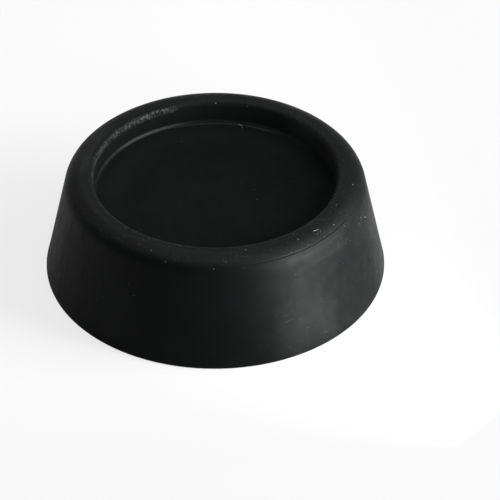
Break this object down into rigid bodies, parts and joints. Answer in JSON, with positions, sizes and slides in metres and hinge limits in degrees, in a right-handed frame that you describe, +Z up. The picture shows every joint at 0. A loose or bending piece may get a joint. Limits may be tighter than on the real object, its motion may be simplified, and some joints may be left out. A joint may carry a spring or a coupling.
{
  "type": "washing machine foot pad",
  "caption": "Tapered round rubber cup with a shallow flat-floored recess in its top that takes a washing machine's adjustable foot.",
  "frame": {"origin": "centre of the flat base, on the surface that the cup stands on", "axes": "+Z up the cup's axis, from the base to the recess; the cup is round, so X and Y are any two level directions"},
  "size_m": [0.07, 0.07, 0.023],
  "materials": {
    "rubber": "satin black moulded rubber, with a dull, dusty rim"
  },
  "bodies": {
    "root": {"foot_cup": "rubber"}
  },
  "joints": []
}
